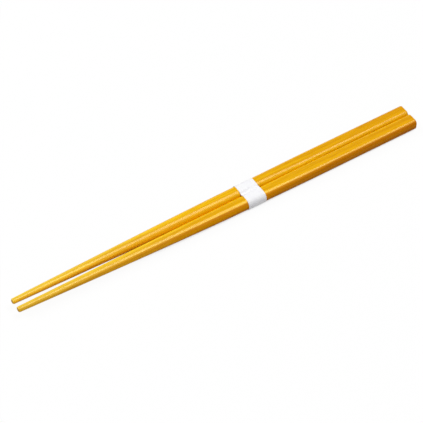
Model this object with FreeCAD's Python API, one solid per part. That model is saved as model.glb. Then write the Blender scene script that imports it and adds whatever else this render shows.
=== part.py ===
import FreeCAD
import Part
import math
import os

# A pair of bamboo chopsticks held together by a glued paper band, lying on a table.
#
# Millimetres. X runs along the sticks, from the tips to the handle ends, Y across the pair, Z up.
# The origin is the middle of the pair's bounding box, on the surface that the band lies on.
# A station is a distance along a stick, measured from its tip.

# Sticks
stick_length = 240.0
handle_width = 7.6
handle_height = 6.6
tip_width = 3.0
tip_height = 2.9
taper_length = 121.0
taper_power = 1.2

# How the sticks lie: the clearance between the handles, the gap between the tips,
# and how far the tips' upper side lies below the handles' upper side
stick_clearance = 0.1
tip_gap = 2.95
tip_drop = 0.45

# Long edges: rounded square on the handle, rounder towards the taper, nearly round to the tip
handle_edge_radius = 2.15
tip_edge_radius = 1.42
edge_blend_length = 51.0

# Ends
handle_end_radius = 0.5
tip_end_radius = 0.8

# Paper band: a strip round both sticks, with one end glued over the other below the sticks
band_width = 10.7
band_past_taper = 11.3
paper_thickness = 0.15
band_clearance = 0.05
lap_length = 6.0
lap_ramp = 0.3

# Steps between the sections that the taper passes through
taper_steps = 9

# An end's rounding stays under this share of the long edges' radius
end_radius_share = 0.9

# Below the sticks the band is two papers thick
stick_floor = 2 * paper_thickness

# From here to the handle's end the section is the same
even_from = taper_length + edge_blend_length


def x_at(station):
    return station - stick_length / 2


def between(handle_value, tip_value, share):
    return handle_value + (tip_value - handle_value) * share


def taper_share(station):
    """0 on the handle, 1 at the tip."""
    left = max(0.0, (taper_length - station) / taper_length)
    return left ** taper_power


def blend_share(station):
    """0 where the handle's section is even, 1 from the start of the taper to the tip."""
    return min(1.0, max(0.0, (even_from - station) / edge_blend_length))


def section_size(station):
    share = taper_share(station)
    return between(handle_width, tip_width, share), between(handle_height, tip_height, share)


def edge_radius(station):
    """The long edges' radius, worked out from its share of the section's smaller side."""
    handle_share = handle_edge_radius / min(handle_width, handle_height)
    tip_share = tip_edge_radius / min(tip_width, tip_height)
    return min(section_size(station)) * between(handle_share, tip_share, blend_share(station))


def section_middle(station, side):
    share = taper_share(station)
    handle_offset = (handle_width + stick_clearance) / 2
    tip_offset = (tip_width + tip_gap) / 2
    top = stick_floor + handle_height - tip_drop * share
    return side * between(handle_offset, tip_offset, share), top - section_size(station)[1] / 2


def rounded_rectangle(x, y, z, width, height, radius):
    """A closed wire across X, centred at (y, z), with rounded corners."""
    half_w = width / 2 - radius
    half_h = height / 2 - radius
    corners = [(half_w, half_h, 0), (-half_w, half_h, 90), (-half_w, -half_h, 180), (half_w, -half_h, 270)]

    def on_corner(corner, turn):
        middle_y, middle_z, start = corner
        angle = math.radians(start + turn)
        round_y = radius * math.cos(angle)
        round_z = radius * math.sin(angle)
        return FreeCAD.Vector(x, y + middle_y + round_y, z + middle_z + round_z)

    edges = []
    for index, corner in enumerate(corners):
        following = corners[(index + 1) % len(corners)]
        arc = Part.Arc(on_corner(corner, 0), on_corner(corner, 45), on_corner(corner, 90))
        edges.append(arc.toShape())
        edges.append(Part.LineSegment(on_corner(corner, 90), on_corner(following, 0)).toShape())
    return Part.Wire(edges)


def stick_section(station, side):
    width, height = section_size(station)
    y, z = section_middle(station, side)
    return rounded_rectangle(x_at(station), y, z, width, height, edge_radius(station))


def end_edges(stick, station):
    """The edges round the flat end of a stick."""
    face = min(stick.Faces, key=lambda one: abs(one.CenterOfMass.x - x_at(station)))
    return face.Edges


def chopstick(side):
    """A curved taper, a stretch with straight sides whose edges change, and an even handle."""
    stations = [taper_length * index / taper_steps for index in range(taper_steps + 1)]
    taper = Part.makeLoft([stick_section(station, side) for station in stations], True, False)
    even_section = stick_section(even_from, side)
    edge_blend = Part.makeLoft([stick_section(taper_length, side), even_section], True, True)
    handle = Part.Face(even_section).extrude(FreeCAD.Vector(stick_length - even_from, 0, 0))
    stick = taper.fuse([edge_blend, handle])
    handle_radius = min(handle_end_radius, end_radius_share * handle_edge_radius)
    tip_radius = min(tip_end_radius, end_radius_share * tip_edge_radius)
    stick = stick.makeFillet(handle_radius, end_edges(stick, stick_length))
    return stick.makeFillet(tip_radius, end_edges(stick, 0.0))


def paper_ring(x):
    """One turn of paper. Its corners follow the sticks' section at the band's end by the handle."""
    snug_station = taper_length + band_past_taper + band_width
    inner_width = 2 * handle_width + stick_clearance + 2 * band_clearance
    inner_height = handle_height + band_clearance
    inner_radius = edge_radius(snug_station) + band_clearance
    middle_z = stick_floor + inner_height / 2
    inner = rounded_rectangle(x, 0.0, middle_z, inner_width, inner_height, inner_radius)
    outer_width = inner_width + 2 * paper_thickness
    outer_height = inner_height + 2 * paper_thickness
    outer_radius = inner_radius + paper_thickness
    outer = rounded_rectangle(x, 0.0, middle_z, outer_width, outer_height, outer_radius)
    return Part.Face([outer, inner]).extrude(FreeCAD.Vector(band_width, 0, 0))


def paper_lap(x):
    """The strip's outer end, below the ring: cut square on one side, ramped up to it on the other."""
    cut_y = -lap_length / 2
    bend_y = lap_length / 2
    outline = [
        FreeCAD.Vector(x, cut_y, 0),
        FreeCAD.Vector(x, bend_y, 0),
        FreeCAD.Vector(x, bend_y + lap_ramp, paper_thickness),
        FreeCAD.Vector(x, cut_y, paper_thickness),
        FreeCAD.Vector(x, cut_y, 0),
    ]
    return Part.Face(Part.makePolygon(outline)).extrude(FreeCAD.Vector(band_width, 0, 0))


def paper_band():
    x = x_at(taper_length + band_past_taper)
    return paper_ring(x).fuse(paper_lap(x)).removeSplitter()


def export(name, shape):
    shape.exportStep(os.path.join("parts", name + ".step"))
    print(name, "valid", shape.isValid(), "solids", len(shape.Solids), "volume", round(shape.Volume, 2))


def main():
    os.makedirs("parts", exist_ok=True)
    export("chopstick_left", chopstick(-1))
    export("chopstick_right", chopstick(1))
    export("paper_band", paper_band())


main()
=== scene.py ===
import math

import bpy
import numpy as np
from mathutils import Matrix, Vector, noise

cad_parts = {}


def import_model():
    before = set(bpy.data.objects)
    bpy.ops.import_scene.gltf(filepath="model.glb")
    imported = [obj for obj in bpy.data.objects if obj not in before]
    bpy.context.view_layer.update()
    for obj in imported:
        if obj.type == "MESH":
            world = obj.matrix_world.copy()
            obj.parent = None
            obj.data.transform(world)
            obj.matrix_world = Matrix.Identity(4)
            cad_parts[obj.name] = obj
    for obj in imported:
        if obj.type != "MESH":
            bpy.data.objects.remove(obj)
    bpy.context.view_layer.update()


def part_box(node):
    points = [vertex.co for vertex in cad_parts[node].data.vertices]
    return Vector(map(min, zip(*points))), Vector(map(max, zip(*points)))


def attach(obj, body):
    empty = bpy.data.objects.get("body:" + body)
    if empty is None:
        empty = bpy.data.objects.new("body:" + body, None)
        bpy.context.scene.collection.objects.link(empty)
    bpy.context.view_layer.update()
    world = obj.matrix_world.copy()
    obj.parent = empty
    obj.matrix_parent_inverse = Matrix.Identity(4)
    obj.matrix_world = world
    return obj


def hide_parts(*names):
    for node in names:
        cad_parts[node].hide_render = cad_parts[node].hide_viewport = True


# The looks of a pair of bamboo chopsticks in a white paper band, lying on a pale floor.
#
# Metres, in the CAD frame: X from the tips to the handle ends, Y across the pair, Z up.
# A station is a distance along a stick, measured from its tip.

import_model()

MM = 0.001

# Sizes that the frame gives
STICK_LOW, STICK_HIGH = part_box("chopstick_right")
BAND_LOW, BAND_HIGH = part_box("paper_band")
STICK_LENGTH = STICK_HIGH.x - STICK_LOW.x
STICK_FLOOR = STICK_LOW.z
HANDLE_WIDTH = STICK_HIGH.y - STICK_LOW.y
HANDLE_HEIGHT = STICK_HIGH.z - STICK_LOW.z
HANDLE_OFFSET = (STICK_HIGH.y + STICK_LOW.y) / 2

# The sticks' taper, their long edges and their ends, as in the CAD model
TIP_WIDTH = 3.0 * MM
TIP_HEIGHT = 2.9 * MM
TIP_GAP = 2.95 * MM
TIP_DROP = 0.45 * MM
TAPER_LENGTH = 121.0 * MM
TAPER_POWER = 1.2
HANDLE_EDGE_RADIUS = 2.15 * MM
TIP_EDGE_RADIUS = 1.42 * MM
EDGE_BLEND_LENGTH = 51.0 * MM
HANDLE_END_RADIUS = 0.5 * MM
TIP_END_RADIUS = 0.8 * MM

# The sticks' mesh: steps on each rounded edge and each side, rings along the body and on each rounded
# end, and where the rings on the flat ends lie between the middle and the outline
ARC_STEPS = 14
FLAT_STEPS = 30
RING_POINTS = 4 * (ARC_STEPS + FLAT_STEPS)
BODY_RINGS = 290
END_RINGS = 8
CAP_SHARES = (0.85, 0.65, 0.45, 0.25, 0.1)

# How far the grain and the dark fibre bundles are drawn out along a stick
GRAIN_STRETCH = 45.0
BUNDLE_STRETCH = 16.0

# Fibre relief, cut into the surface: wavelength across, depth
RELIEF = ((1.3 * MM, 0.006 * MM), (0.5 * MM, 0.003 * MM))

# The paper strip: its two layers under the sticks, its seat round them and its glued overlap
LAYER_GAP = 0.004 * MM
PAPER_THICKNESS = (STICK_FLOOR - LAYER_GAP) / 2
PAPER_SEAT = 0.012 * MM
LAP_LENGTH = 6.0 * MM
LAP_RAMP = 0.5 * MM

# How far the paper sinks into the groove at the band's two edges, and how far from the groove it starts
GROOVE_SAG_BY_TIPS = 1.0 * MM
GROOVE_SAG_BY_HANDLES = 0.3 * MM
GROOVE_SAG_REACH = 2.0 * MM

# The paper strip's mesh: steps round the sticks, closer in the bends, and columns along them
PATH_STEP = 0.16 * MM
BEND_DENSITY = 1.5
BEND_STEPS_LEAST = 4
PAPER_COLUMNS = 64
SAME_HEIGHT = 1e-6 * MM

# How large the materials' features are, how deep the small ones, and how strong their shading is
STREAK_SIZE = 1.6 * MM
FIBRE_SIZE = 0.5 * MM
BUNDLE_SIZE = 0.8 * MM
BUNDLE_PATCH_SIZE = 2.6 * MM
FIBRE_BUMP = 0.003 * MM
FIBRE_BUMP_STRENGTH = 0.5
PULP_SIZE = 0.38 * MM
CLOUD_SIZE = 2.2 * MM
PULP_BUMP = 0.01 * MM
PULP_BUMP_STRENGTH = 0.6
NOISE_DETAIL = 2.0
PATCH_DETAIL = 1.0
PULP_DETAIL = 4.0

# Where noise becomes a mark: the noise at which it starts and is full, and its share at both where
# that isn't 0 and 1
STREAKS = (0.42, 0.68, 0.0, 0.85)
PALE_STREAKS = (0.48, 0.30, 0.0, 0.7)
FIBRES = (0.42, 0.70, 0.0, 0.55)
BUNDLE_PATCHES = (0.4, 0.65, 0.12, 0.6)
BUNDLE_CORES = (0.30, 0.12)
LACQUER_FIBRES = (0.3, 0.8)
PAPER_CLOUDS = (0.4, 0.7)
PAPER_FIBRES = (0.5, 0.8, 0.0, 0.25)
ROUGH_CLOUDS = (0.3, 0.7)

# Gloss: how strongly faces reflect, as a level or a share of one, and how rough they are
EDGE_GLOSS = 0.36
TIP_GLOSS_SHARE = 1.45
BACK_GLOSS_SHARE = 0.3
TOP_GLOSS_SHARE = 0.35
SIDE_GLOSS = 0.02
LACQUER_ROUGHNESS = (0.2, 0.28)
END_ROUGHNESS = 0.55
PAPER_GLOSS = 0.25
PAPER_ROUGHNESS = (0.78, 0.9)

# Where colour and gloss change by a face's direction: a part of its normal, at the start and when full
# SIDE_FACING places the painted shade and light on the sides
SIDE_FACING = (0.46, 0.62)
EDGE_FACING = (0.45, 0.8)
TOP_FACING = (0.98, 0.999)
END_FACING = (0.75, 0.95)
BACK_FACING = (0.06, 0.34)
# BACK_UPWARD, with BACK_FACING, places the painted light on the back edges
BACK_UPWARD = (0.3, 0.65)

# Where they change along the sticks and above the table
MIDDLE_COLOUR_SHARE = 0.42
INNER_TINT_SPAN = (-STICK_LENGTH / 2, STICK_LENGTH / 4)
TIP_SPAN = (-STICK_LENGTH / 2, 0.0)
# Heights where the painted shade near the table starts and is full
LOW_SHADE_SPAN = (4.6 * MM, 1.2 * MM)

# Colours, linear
BAMBOO_TIP = (0.89, 0.61, 0.056)
BAMBOO_MIDDLE = (0.89, 0.50, 0.004)
BAMBOO_HANDLE = (0.80, 0.38, 0.001)
END_GRAIN_PALE = (0.62, 0.33, 0.075)
END_GRAIN_DARK = (0.34, 0.13, 0.03)
LACQUER_GLOSS_TINT = (1.0, 0.84, 0.5)
PAPER_WHITE = (0.93, 0.93, 0.945)
PAPER_CLOUD = (0.905, 0.90, 0.93)
PAPER_FIBRE = (0.88, 0.88, 0.90)
WHITE = (1.0, 1.0, 1.0)

# What the bamboo's colour is multiplied by, for the grain and for painted shade and light
STREAK_TINT = (0.86, 0.76, 0.6)
FIBRE_TINT = (0.84, 0.76, 0.6)
BUNDLE_TINT = (0.66, 0.48, 0.25)
PALE_TINT = (1.06, 1.10, 1.1)
# Painted shade on the pair's outer sides, darker and deeper amber
OUTER_HANDLE_PAINTED_SHADE = (0.86, 0.61, 0.42)
OUTER_TIP_PAINTED_SHADE = (1.0, 0.85, 0.6)
# Painted light on the inner sides by the handles, and painted shade, darker and redder, by the tips
INNER_HANDLE_PAINTED_LIGHT = (1.08, 1.2, 1.0)
INNER_TIP_PAINTED_SHADE = (1.13, 0.95, 0.5)
# Painted shade near the table, and painted light on the edges that face up and back
LOW_PAINTED_SHADE = (0.7, 0.66, 0.85)
BACK_EDGE_PAINTED_LIGHT = (1.08, 1.15, 0.8)

# Camera: degrees, metres, the sensor in millimetres, and the rest in pixels of the square image
CAMERA_AZIMUTH = -32.76
CAMERA_ELEVATION = 49.0
CAMERA_DISTANCE = 0.9
CAMERA_SENSOR = 36.0
IMAGE_SIDE = 423
FOCAL_PIXELS = 1745.2
ORIGIN_RIGHT_OF_CENTRE = 9.5
ORIGIN_BELOW_CENTRE = 0.5

# Lamps: direction, distance, size upwards and sideways, and the light they give as a share of full white
LAMPS = {
    "overhead_strip": ((0.355, -0.056, 0.933), 3.0, (1.1, 2.3), 0.68),
    "back_window": ((-0.5, 0.5, 0.70), 2.0, (1.0, 1.0), 0.50),
    "front_card": ((-0.5, -0.8, 0.3), 2.0, (1.2, 1.2), 0.27),
}

# Even light from all sides, as a share of full white
AMBIENT = 0.06

# Floor: its size, how far it lies under the part, its colours for light and for the camera, and how
# much plain white the camera sees in it where it is open and where the sticks enclose it
FLOOR_SIDE = 5.0
FLOOR_DROP = 0.03 * MM
FLOOR_FOR_LIGHT = (0.5, 0.5, 0.5)
FLOOR_SHOWN = (0.95, 0.95, 0.95)
FLOOR_GLOW = 0.94
ENCLOSED_GLOW = 0.2
ENCLOSED_REACH = 3.0 * MM
ENCLOSED_OPENNESS = (0.08, 0.34)
OPENNESS_SAMPLES = 8


def between(first, second, share):
    return first + (second - first) * share


def on_line(first, second, share):
    return tuple(between(*ends, share) for ends in zip(first, second))


def taper_share(station):
    """0 on the handle, 1 at the tip."""
    return np.clip((TAPER_LENGTH - station) / TAPER_LENGTH, 0.0, 1.0) ** TAPER_POWER


def blend_share(station):
    """0 where the handle's section is even, 1 from the start of the taper to the tip."""
    return np.clip((TAPER_LENGTH + EDGE_BLEND_LENGTH - station) / EDGE_BLEND_LENGTH, 0.0, 1.0)


def section(station, side):
    """Width, height, edge radius and middle of a stick's section."""
    share = taper_share(station)
    width = between(HANDLE_WIDTH, TIP_WIDTH, share)
    height = between(HANDLE_HEIGHT, TIP_HEIGHT, share)
    handle_round = HANDLE_EDGE_RADIUS / min(HANDLE_WIDTH, HANDLE_HEIGHT)
    tip_round = TIP_EDGE_RADIUS / min(TIP_WIDTH, TIP_HEIGHT)
    radius = np.minimum(width, height) * between(handle_round, tip_round, blend_share(station))
    middle_y = side * between(HANDLE_OFFSET, (TIP_WIDTH + TIP_GAP) / 2, share)
    middle_z = STICK_FLOOR + HANDLE_HEIGHT - TIP_DROP * share - height / 2
    return width, height, radius, middle_y, middle_z


def ring_template():
    """For each point of a ring: its place between the corner centres, and its outward direction."""
    signs = [(1, 1), (-1, 1), (-1, -1), (1, -1)]
    places = []
    directions = []
    for index, sign in enumerate(signs):
        following = signs[(index + 1) % len(signs)]
        for step in range(ARC_STEPS):
            angle = math.radians(90 * (index + step / ARC_STEPS))
            places.append(sign)
            directions.append((math.cos(angle), math.sin(angle)))
        angle = math.radians(90 * (index + 1))
        for step in range(FLAT_STEPS):
            places.append(on_line(sign, following, step / FLAT_STEPS))
            directions.append((math.cos(angle), math.sin(angle)))
    return np.array(places, float), np.array(directions, float)


def ring_stations():
    """Stations with the inset of each ring's outline, closely spaced where the ends are rounded."""
    turns = [math.pi / 2 * step / END_RINGS for step in range(END_RINGS)]
    rows = []
    for turn in turns:
        rows.append((TIP_END_RADIUS * (1 - math.cos(turn)), TIP_END_RADIUS * (1 - math.sin(turn))))
    body_start = TIP_END_RADIUS
    body_end = STICK_LENGTH - HANDLE_END_RADIUS
    for step in range(BODY_RINGS + 1):
        rows.append((body_start + (body_end - body_start) * step / BODY_RINGS, 0.0))
    for turn in reversed(turns):
        from_end = HANDLE_END_RADIUS * (1 - math.cos(turn))
        rows.append((STICK_LENGTH - from_end, HANDLE_END_RADIUS * (1 - math.sin(turn))))
    return rows


def relief(point):
    """How deep the surface is cut at a point, from noise drawn out along the fibres."""
    depth = 0.0
    for wavelength, amount in RELIEF:
        spot = Vector((point[0] / GRAIN_STRETCH, point[1], point[2])) / wavelength
        depth += amount * (0.5 + 0.5 * noise.noise(spot))
    return depth


def stick_points(rows, side):
    """The rings round a stick, one after the other from its tip."""
    places, directions = ring_template()
    points = []
    for station, inset in rows:
        width, height, radius, middle_y, middle_z = section(station, side)
        half = np.array([width / 2 - radius, height / 2 - radius])
        outline = places * half + directions * (radius - inset)
        x = station - STICK_LENGTH / 2
        for (y, z), (out_y, out_z) in zip(outline, directions):
            depth = relief((x, middle_y + y, middle_z + z))
            points.append((x, middle_y + y - depth * out_y, middle_z + z - depth * out_z))
    return points


def ring_quads(first_ring, second_ring):
    """Outward quads between two rings, given by their first points, the second one further along X."""
    faces = []
    for index in range(RING_POINTS):
        following = (index + 1) % RING_POINTS
        first_pair = (first_ring + index, first_ring + following)
        second_pair = (second_ring + following, second_ring + index)
        faces.append(first_pair + second_pair)
    return faces


def close_end(points, faces, ring, at_handle):
    """Adds smaller rings inside the last ring of a stick's end, and a fan of triangles in their middle."""
    edge = np.array(points[ring:ring + RING_POINTS])
    middle = edge.mean(axis=0)
    for share in CAP_SHARES:
        smaller = len(points)
        points += [tuple(middle + (point - middle) * share) for point in edge]
        faces += ring_quads(ring, smaller) if at_handle else ring_quads(smaller, ring)
        ring = smaller
    centre = len(points)
    points.append(tuple(middle))
    for index in range(RING_POINTS):
        here = ring + index
        following = ring + (index + 1) % RING_POINTS
        faces.append((here, following, centre) if at_handle else (following, here, centre))


def new_mesh(name, points, faces, material):
    mesh = bpy.data.meshes.new(name)
    mesh.from_pydata([tuple(point) for point in points], [], faces)
    mesh.polygons.foreach_set("use_smooth", [True] * len(mesh.polygons))
    mesh.materials.append(material)
    mesh.update()
    piece = bpy.data.objects.new(name, mesh)
    bpy.context.scene.collection.objects.link(piece)
    return piece


def stick(name, side, material):
    rows = ring_stations()
    points = stick_points(rows, side)
    last_ring = (len(rows) - 1) * RING_POINTS
    faces = []
    for ring in range(0, last_ring, RING_POINTS):
        faces += ring_quads(ring, ring + RING_POINTS)
    close_end(points, faces, 0, at_handle=False)
    close_end(points, faces, last_ring, at_handle=True)
    return new_mesh(name, points, faces, material)


def straight_run(first, second):
    """Points from one end of a line up to just before the other."""
    steps = max(1, round(math.dist(first, second) / PATH_STEP))
    return [on_line(first, second, step / steps) for step in range(steps)]


def bend(middle, radius, start):
    """Points on a quarter turn, from its start in degrees up to just before its end."""
    steps = max(BEND_STEPS_LEAST, round(radius * math.pi / 2 / PATH_STEP * BEND_DENSITY))
    points = []
    for step in range(steps):
        angle = math.radians(start + 90 * step / steps)
        points.append((middle[0] + radius * math.cos(angle), middle[1] + radius * math.sin(angle)))
    return points


def rounded_path(half_width, low, high, radius):
    """An outline round both sticks as (y, z) points, from the middle of the underside by way of +Y."""
    side = half_width - radius
    bottom = low + radius
    top = high - radius
    points = straight_run((0.0, low), (side, low))
    points += bend((side, bottom), radius, -90)
    points += straight_run((half_width, bottom), (half_width, top))
    points += bend((side, top), radius, 0)
    points += straight_run((side, high), (-side, high))
    points += bend((-side, top), radius, 90)
    points += straight_run((-half_width, top), (-half_width, bottom))
    points += bend((-side, bottom), radius, 180)
    points += straight_run((-side, low), (0.0, low))
    return points


def lap_height(y, outer_low, inner_low):
    """The height of the strip's outer end: flat under the inner end, then up beside it on a smooth ramp."""
    if y < LAP_LENGTH / 2:
        return outer_low
    share = (y - LAP_LENGTH / 2) / LAP_RAMP
    return outer_low + (inner_low - outer_low) * share * share * (3 - 2 * share)


def paper_path():
    """The middle line of the paper strip, from its outer end under the sticks to its inner end."""
    half_thickness = PAPER_THICKNESS / 2
    inner_low = STICK_FLOOR - half_thickness
    outer_low = inner_low - PAPER_THICKNESS - LAYER_GAP
    top = STICK_FLOOR + HANDLE_HEIGHT + PAPER_SEAT + half_thickness
    half_width = HANDLE_OFFSET + HANDLE_WIDTH / 2 + PAPER_SEAT + half_thickness
    snug_station = BAND_HIGH.x + STICK_LENGTH / 2
    radius = float(section(snug_station, 1)[2]) + PAPER_SEAT + half_thickness
    half_lap = LAP_LENGTH / 2
    turn = rounded_path(half_width, inner_low, top, radius)
    path = []
    for index, (y, z) in enumerate(turn):
        on_first_run = index < len(turn) / 2 and abs(z - inner_low) < SAME_HEIGHT
        if on_first_run and y < half_lap + LAP_RAMP:
            z = lap_height(y, outer_low, inner_low)
        path.append((y, z))
    steps = round(half_lap / PATH_STEP)
    lead = [(-half_lap + PATH_STEP * step, outer_low) for step in range(steps)]
    tail = [(PATH_STEP * step, inner_low) for step in range(steps)]
    return np.array(lead + path + tail)


def outward_directions(path):
    """The direction away from the sticks at each point of the strip's middle line."""
    ahead = np.roll(path, -1, axis=0)
    behind = np.roll(path, 1, axis=0)
    ahead[-1] = path[-1]
    behind[0] = path[0]
    tangent = ahead - behind
    tangent /= np.linalg.norm(tangent, axis=1)[:, None]
    return np.stack([tangent[:, 1], -tangent[:, 0]], axis=1)


def groove_sag(share, y):
    """How far the paper sinks into the groove, at a share of the way from its edge by the tips."""
    if abs(y) > GROOVE_SAG_REACH:
        return 0.0
    depth = between(GROOVE_SAG_BY_TIPS, GROOVE_SAG_BY_HANDLES, share)
    return depth * math.cos(math.pi / 2 * y / GROOVE_SAG_REACH) ** 2


def paper_points(path):
    """The strip's outer surface, column after column along X, and then its inner surface."""
    outward = outward_directions(path)
    points = []
    for lift in (PAPER_THICKNESS / 2, -PAPER_THICKNESS / 2):
        for column in range(PAPER_COLUMNS + 1):
            share = column / PAPER_COLUMNS
            x = between(BAND_LOW.x, BAND_HIGH.x, share)
            for (y, z), (out_y, out_z) in zip(path, outward):
                sag = groove_sag(share, y) if z > STICK_FLOOR + HANDLE_HEIGHT / 2 else 0.0
                points.append((x, y + out_y * lift, z + out_z * lift - sag))
    return points


def paper_faces(count):
    """The strip's two surfaces, its long edges and its ends, with so many points to a column."""
    inner = (PAPER_COLUMNS + 1) * count
    faces = []
    for column in range(PAPER_COLUMNS):
        for index in range(count - 1):
            near = column * count + index
            far = near + count
            faces.append((near, near + 1, far + 1, far))
            faces.append((inner + near, inner + far, inner + far + 1, inner + near + 1))
    for near in range(count - 1):
        far = PAPER_COLUMNS * count + near
        faces.append((near, inner + near, inner + near + 1, near + 1))
        faces.append((far, far + 1, inner + far + 1, inner + far))
    for column in range(PAPER_COLUMNS):
        start = column * count
        end = start + count - 1
        faces.append((start, start + count, inner + start + count, inner + start))
        faces.append((end, inner + end, inner + end + count, end + count))
    return faces


def paper_strip(material):
    path = paper_path()
    return new_mesh("paper_strip", paper_points(path), paper_faces(len(path)), material)


def opaque(colour):
    return (*colour, 1.0)


def new_material(name):
    material = bpy.data.materials.new(name)
    material.use_nodes = True
    tree = material.node_tree
    tree.nodes.clear()
    return material, tree


def add_node(tree, kind, values=None, **settings):
    """A node with its settings, and its inputs linked to sockets or set to values."""
    node = tree.nodes.new(kind)
    for setting, value in settings.items():
        setattr(node, setting, value)
    for socket, value in (values or {}).items():
        if isinstance(value, bpy.types.NodeSocket):
            tree.links.new(value, node.inputs[socket])
        else:
            node.inputs[socket].default_value = value
    return node


def mix_colour(tree, share, first, second, blend_type="MIX"):
    values = {0: share, 6: first, 7: second}
    return add_node(tree, "ShaderNodeMix", values, data_type="RGBA", blend_type=blend_type).outputs[2]


def multiplied(tree, colour, tint, share):
    return mix_colour(tree, share, colour, opaque(tint), "MULTIPLY")


def calculate(tree, operation, first, second=0.0):
    return add_node(tree, "ShaderNodeMath", {0: first, 1: second}, operation=operation).outputs[0]


def ramp(tree, value, from_low, from_high, to_low=0.0, to_high=1.0, interpolation="SMOOTHSTEP"):
    """A step from one value to another."""
    values = {
        "Value": value,
        "From Min": from_low,
        "From Max": from_high,
        "To Min": to_low,
        "To Max": to_high,
    }
    return add_node(tree, "ShaderNodeMapRange", values, interpolation_type=interpolation).outputs["Result"]


def fibre_space(tree, place, stretch):
    """Object space pressed together along the stick, so that noise is drawn out along the fibres."""
    values = {"Vector": place, "Scale": (1 / stretch, 1.0, 1.0)}
    return add_node(tree, "ShaderNodeMapping", values).outputs[0]


def noise_value(tree, place, size, detail=NOISE_DETAIL):
    """Noise whose features are about as large as the size."""
    values = {"Vector": place, "Scale": 1 / size, "Detail": detail}
    return add_node(tree, "ShaderNodeTexNoise", values).outputs["Fac"]


def bundle_cores(tree, place):
    """1 in the dark cores of the fibre bundles."""
    values = {"Vector": place, "Scale": 1 / BUNDLE_SIZE}
    cells = add_node(tree, "ShaderNodeTexVoronoi", values, feature="F1")
    return ramp(tree, cells.outputs["Distance"], *BUNDLE_CORES)


def colour_along(tree, along):
    """Paler and yellower towards the tip."""
    share = ramp(tree, along, -STICK_LENGTH / 2, STICK_LENGTH / 2, interpolation="LINEAR")
    stops = add_node(tree, "ShaderNodeValToRGB", {"Fac": share})
    elements = stops.color_ramp.elements
    elements[0].color = opaque(BAMBOO_TIP)
    elements[1].color = opaque(BAMBOO_HANDLE)
    middle = elements.new(MIDDLE_COLOUR_SHARE)
    middle.color = opaque(BAMBOO_MIDDLE)
    return stops.outputs["Color"]


def streaked(tree, colour, fibres, dashes, cores):
    """Broad streaks, short fibres and darker fibre bundles."""
    broad = noise_value(tree, fibres, STREAK_SIZE)
    fine = noise_value(tree, dashes, FIBRE_SIZE)
    patches = noise_value(tree, fibres, BUNDLE_PATCH_SIZE, PATCH_DETAIL)
    colour = multiplied(tree, colour, STREAK_TINT, ramp(tree, broad, *STREAKS))
    colour = multiplied(tree, colour, PALE_TINT, ramp(tree, broad, *PALE_STREAKS))
    colour = multiplied(tree, colour, FIBRE_TINT, ramp(tree, fine, *FIBRES))
    bundle_share = calculate(tree, "MULTIPLY", cores, ramp(tree, patches, *BUNDLE_PATCHES))
    return multiplied(tree, colour, BUNDLE_TINT, bundle_share)


def with_painted_low_shade_and_back_light(tree, colour, height, facing):
    """Painted shade: darker near the table. Painted light: yellower on the edges that face up and back."""
    colour = multiplied(tree, colour, LOW_PAINTED_SHADE, ramp(tree, height, *LOW_SHADE_SPAN))
    backward = ramp(tree, facing.outputs["Y"], *BACK_FACING)
    upward = ramp(tree, facing.outputs["Z"], *BACK_UPWARD)
    return multiplied(tree, colour, BACK_EDGE_PAINTED_LIGHT, calculate(tree, "MULTIPLY", backward, upward))


def with_painted_side_light_and_shade(tree, colour, place, facing):
    """Painted shade, darker and deeper amber, on the pair's outer sides, and on the inner sides painted
    light towards the handles and painted shade towards the tips.
    """
    along = place.outputs["X"]
    side_of_pair = calculate(tree, "SIGN", place.outputs["Y"])
    outward = calculate(tree, "MULTIPLY", side_of_pair, facing.outputs["Y"])
    inward = calculate(tree, "MULTIPLY", outward, -1.0)
    outer_share = ramp(tree, along, *TIP_SPAN, interpolation="LINEAR")
    outer_painted_shade = mix_colour(tree, outer_share, opaque(OUTER_TIP_PAINTED_SHADE), opaque(OUTER_HANDLE_PAINTED_SHADE))
    colour = mix_colour(tree, ramp(tree, outward, *SIDE_FACING), colour, outer_painted_shade, "MULTIPLY")
    inner_share = ramp(tree, along, *INNER_TINT_SPAN, interpolation="LINEAR")
    inner_painted_light_and_shade = mix_colour(tree, inner_share, opaque(INNER_TIP_PAINTED_SHADE), opaque(INNER_HANDLE_PAINTED_LIGHT))
    return mix_colour(tree, ramp(tree, inward, *SIDE_FACING), colour, inner_painted_light_and_shade, "MULTIPLY")


def polish(tree, along, facing):
    """Gloss of the long edges, more at the tips and less at the back, and little on the other faces."""
    upward = facing.outputs["Z"]
    gloss = ramp(tree, upward, *EDGE_FACING, SIDE_GLOSS, EDGE_GLOSS)
    at_back = ramp(tree, facing.outputs["Y"], *BACK_FACING, 1.0, BACK_GLOSS_SHARE)
    at_tips = ramp(tree, along, *TIP_SPAN, TIP_GLOSS_SHARE, 1.0, "LINEAR")
    on_top = ramp(tree, upward, *TOP_FACING, 1.0, TOP_GLOSS_SHARE)
    for share in (at_back, at_tips, on_top):
        gloss = calculate(tree, "MULTIPLY", gloss, share)
    return gloss


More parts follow.
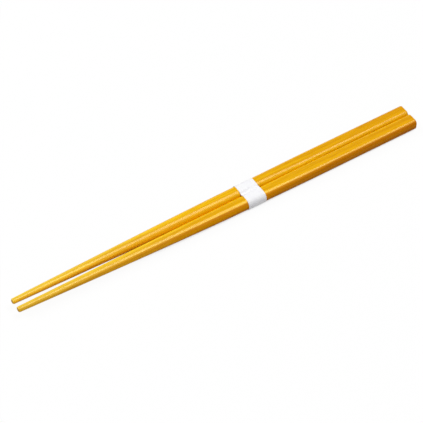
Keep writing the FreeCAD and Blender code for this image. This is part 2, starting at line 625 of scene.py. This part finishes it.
def bamboo_material():
    material, tree = new_material("lacquered_bamboo")
    space = add_node(tree, "ShaderNodeTexCoord")
    place = add_node(tree, "ShaderNodeSeparateXYZ", {"Vector": space.outputs["Object"]})
    facing = add_node(tree, "ShaderNodeSeparateXYZ", {"Vector": space.outputs["Normal"]})
    fibres = fibre_space(tree, space.outputs["Object"], GRAIN_STRETCH)
    dashes = fibre_space(tree, space.outputs["Object"], BUNDLE_STRETCH)
    cores = bundle_cores(tree, dashes)

    colour = colour_along(tree, place.outputs["X"])
    colour = streaked(tree, colour, fibres, dashes, cores)
    # Painted shade near the table, and painted light on the back edges
    colour = with_painted_low_shade_and_back_light(tree, colour, place.outputs["Z"], facing)
    # Painted shade on the outer sides, and painted light and shade on the inner sides
    colour = with_painted_side_light_and_shade(tree, colour, place, facing)
    cut_across = ramp(tree, calculate(tree, "ABSOLUTE", facing.outputs["X"]), *END_FACING)
    end_grain = mix_colour(tree, cores, opaque(END_GRAIN_PALE), opaque(END_GRAIN_DARK))
    colour = mix_colour(tree, cut_across, colour, end_grain)

    fine = noise_value(tree, fibres, FIBRE_SIZE)
    lacquer = ramp(tree, fine, *LACQUER_FIBRES, *LACQUER_ROUGHNESS)
    cut_roughness = calculate(tree, "MULTIPLY", cut_across, END_ROUGHNESS)
    bump_values = {"Height": fine, "Distance": FIBRE_BUMP, "Strength": FIBRE_BUMP_STRENGTH}
    shader = add_node(tree, "ShaderNodeBsdfPrincipled", {
        "Base Color": colour,
        "Roughness": calculate(tree, "MAXIMUM", lacquer, cut_roughness),
        "Normal": add_node(tree, "ShaderNodeBump", bump_values).outputs["Normal"],
        "Specular IOR Level": polish(tree, place.outputs["X"], facing),
        "Specular Tint": opaque(LACQUER_GLOSS_TINT),
    })
    add_node(tree, "ShaderNodeOutputMaterial", {"Surface": shader.outputs["BSDF"]})
    return material


def paper_material():
    material, tree = new_material("white_paper")
    place = add_node(tree, "ShaderNodeTexCoord").outputs["Object"]
    pulp = noise_value(tree, place, PULP_SIZE, PULP_DETAIL)
    cloud = noise_value(tree, place, CLOUD_SIZE)
    colour = mix_colour(tree, ramp(tree, cloud, *PAPER_CLOUDS), opaque(PAPER_WHITE), opaque(PAPER_CLOUD))
    colour = mix_colour(tree, ramp(tree, pulp, *PAPER_FIBRES), colour, opaque(PAPER_FIBRE))
    bump_values = {"Height": pulp, "Distance": PULP_BUMP, "Strength": PULP_BUMP_STRENGTH}
    shader = add_node(tree, "ShaderNodeBsdfPrincipled", {
        "Base Color": colour,
        "Roughness": ramp(tree, cloud, *ROUGH_CLOUDS, *PAPER_ROUGHNESS),
        "Normal": add_node(tree, "ShaderNodeBump", bump_values).outputs["Normal"],
        "Specular IOR Level": PAPER_GLOSS,
    })
    add_node(tree, "ShaderNodeOutputMaterial", {"Surface": shader.outputs["BSDF"]})
    return material


def light_path_share(tree):
    """1 for what the camera, a reflection or glass sees, 0 for light that falls on things."""
    path = add_node(tree, "ShaderNodeLightPath")
    seen = calculate(tree, "MAXIMUM", path.outputs["Is Camera Ray"], path.outputs["Is Glossy Ray"])
    return calculate(tree, "MAXIMUM", seen, path.outputs["Is Transmission Ray"])


def floor_material():
    """Plain for light, and near white for the camera, with what the sticks enclose left darker."""
    material, tree = new_material("pale_floor")
    lit = add_node(tree, "ShaderNodeBsdfDiffuse", {"Color": opaque(FLOOR_FOR_LIGHT)})
    shown = add_node(tree, "ShaderNodeBsdfDiffuse", {"Color": opaque(FLOOR_SHOWN)})
    white = add_node(tree, "ShaderNodeEmission", {"Color": opaque(WHITE), "Strength": 1.0})
    reach = {"Distance": ENCLOSED_REACH}
    openness = add_node(tree, "ShaderNodeAmbientOcclusion", reach, samples=OPENNESS_SAMPLES).outputs["AO"]
    glow = ramp(tree, openness, *ENCLOSED_OPENNESS, ENCLOSED_GLOW, FLOOR_GLOW)
    pale = add_node(tree, "ShaderNodeMixShader", {0: glow, 1: shown.outputs[0], 2: white.outputs[0]})
    surface_values = {0: light_path_share(tree), 1: lit.outputs[0], 2: pale.outputs[0]}
    surface = add_node(tree, "ShaderNodeMixShader", surface_values)
    material.cycles.emission_sampling = "NONE"
    add_node(tree, "ShaderNodeOutputMaterial", {"Surface": surface.outputs[0]})
    return material


def floor():
    half = FLOOR_SIDE / 2
    low = -FLOOR_DROP
    corners = [(-half, -half, low), (half, -half, low), (half, half, low), (-half, half, low)]
    ground = new_mesh("floor", corners, [(0, 1, 2, 3)], floor_material())


def world():
    """White for the camera, with a little even light."""
    studio = bpy.data.worlds.new("studio")
    studio.use_nodes = True
    tree = studio.node_tree
    tree.nodes.clear()
    ambient = add_node(tree, "ShaderNodeBackground", {"Color": opaque(WHITE), "Strength": AMBIENT})
    white = add_node(tree, "ShaderNodeBackground", {"Color": opaque(WHITE), "Strength": 1.0})
    shown_values = {0: light_path_share(tree), 1: ambient.outputs[0], 2: white.outputs[0]}
    mixed = add_node(tree, "ShaderNodeMixShader", shown_values)
    add_node(tree, "ShaderNodeOutputWorld", {"Surface": mixed.outputs[0]})
    bpy.context.scene.world = studio


def soft_light(name, direction, distance, size, share):
    """A flat lamp that faces the origin, with power to match its distance."""
    light = bpy.data.lights.new(name, "AREA")
    light.shape = "RECTANGLE"
    light.size, light.size_y = size
    light.energy = share * math.pi ** 2 * distance ** 2
    lamp = bpy.data.objects.new(name, light)
    away = Vector(direction).normalized()
    lamp.location = away * distance
    lamp.rotation_euler = away.to_track_quat("Z", "X").to_euler()
    bpy.context.scene.collection.objects.link(lamp)


def camera():
    azimuth = math.radians(CAMERA_AZIMUTH)
    elevation = math.radians(CAMERA_ELEVATION)
    level = math.cos(elevation)
    back = Vector((math.sin(azimuth) * level, -math.cos(azimuth) * level, math.sin(elevation)))
    lens = bpy.data.cameras.new("camera")
    lens.sensor_width = CAMERA_SENSOR
    lens.lens = FOCAL_PIXELS / IMAGE_SIDE * CAMERA_SENSOR
    lens.shift_x = -ORIGIN_RIGHT_OF_CENTRE / IMAGE_SIDE
    lens.shift_y = ORIGIN_BELOW_CENTRE / IMAGE_SIDE
    view = bpy.data.objects.new("camera", lens)
    view.location = Vector((0.0, 0.0, STICK_FLOOR)) + back * CAMERA_DISTANCE
    view.rotation_euler = back.to_track_quat("Z", "Y").to_euler()
    bpy.context.scene.collection.objects.link(view)
    bpy.context.scene.camera = view


camera()
world()
floor()
for name, lamp in LAMPS.items():
    soft_light(name, *lamp)

bamboo = bamboo_material()
for node, side in (("chopstick_left", -1), ("chopstick_right", 1)):
    piece = stick(node.replace("chopstick", "bamboo_stick"), side, bamboo)
    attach(piece, "root")
    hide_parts(node)

strip = paper_strip(paper_material())
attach(strip, "root")
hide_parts("paper_band")

bpy.context.scene.view_settings.view_transform = "Standard"
